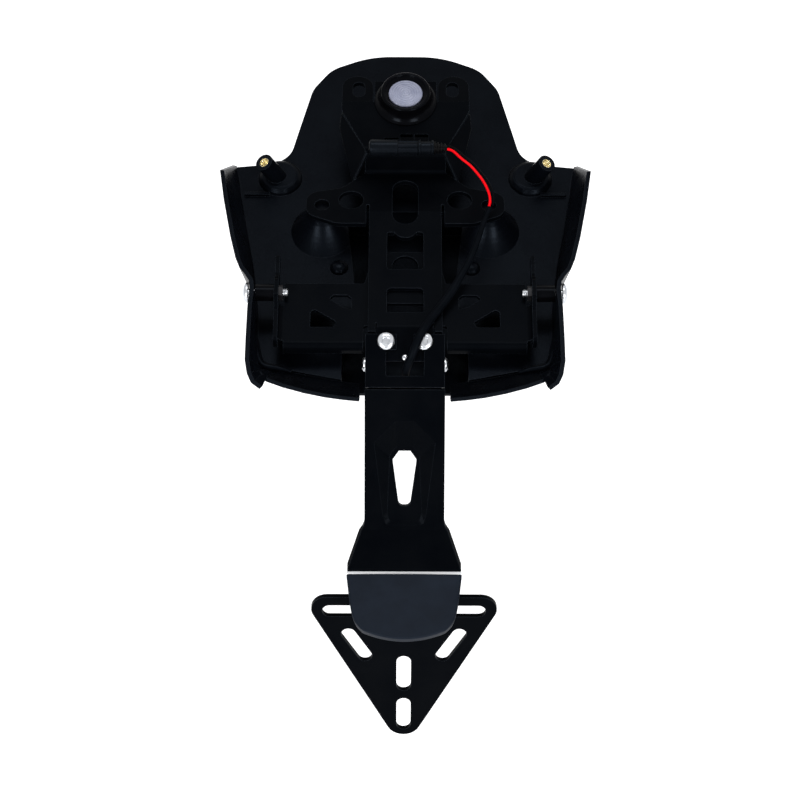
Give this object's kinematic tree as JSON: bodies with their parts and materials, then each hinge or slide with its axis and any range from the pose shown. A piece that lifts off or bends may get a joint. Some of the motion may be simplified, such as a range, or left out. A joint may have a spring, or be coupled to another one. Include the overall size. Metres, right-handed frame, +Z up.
{
  "type": "tail tidy",
  "caption": "Motorbike tail tidy: moulded undertray, folded steel brackets, tilted arm with keyhole, slotted number plate bracket, plate light and lead.",
  "frame": {"origin": "midway between the two ear holes, on the top face of the T-plate", "axes": "+X to the right, +Y towards the front of the motorbike, +Z up along the ear holes' axes"},
  "size_m": [0.2232, 0.3586, 0.2801],
  "materials": {
    "tray_plastic": "satin black moulding",
    "hood_plastic": "satin black moulding",
    "bezel_plastic": "smooth black",
    "connector_plastic": "satin black",
    "seal_rubber": "soft black",
    "sleeve_plastic": "soft black tube",
    "wire_red_plastic": "glossy red insulation",
    "wire_black_plastic": "glossy black insulation",
    "bracket_paint": "satin black powder coat",
    "screw_steel": "bright steel",
    "nut_steel": "plain steel",
    "black_steel": "black oxide",
    "brass": "turned brass",
    "lamp_lens": "pale translucent"
  },
  "bodies": {
    "root": {"undertray": "tray_plastic", "insert_left": "brass", "insert_right": "brass", "main_bracket": "bracket_paint", "cross_bracket": "bracket_paint", "lens_bezel": "bezel_plastic", "lens": "lamp_lens", "connector_socket": "connector_plastic", "connector_plug": "connector_plastic", "connector_seal": "seal_rubber", "wire_red": "wire_red_plastic", "wire_black": "wire_black_plastic", "cable_sleeve": "sleeve_plastic", "stem_bracket": "bracket_paint", "stem_bolt_left": "screw_steel", "stem_bolt_right": "screw_steel", "stem_nut_left": "nut_steel", "stem_nut_right": "nut_steel", "centre_screw": "screw_steel", "arm": "bracket_paint", "pivot_bolt_left": "screw_steel", "pivot_bolt_right": "screw_steel", "pivot_nut_left": "nut_steel", "pivot_nut_right": "nut_steel", "light_strip": "lamp_lens", "light_module": "lamp_lens", "hood": "hood_plastic", "plate_bracket": "bracket_paint", "plate_bolt_left": "black_steel", "plate_bolt_right": "black_steel", "plate_nut_left": "nut_steel", "plate_nut_right": "nut_steel", "side_spacer_left": "bezel_plastic", "side_spacer_right": "bezel_plastic", "side_bolt_left": "screw_steel", "side_bolt_right": "screw_steel", "side_nut_left": "black_steel", "side_nut_right": "black_steel"}
  },
  "joints": []
}
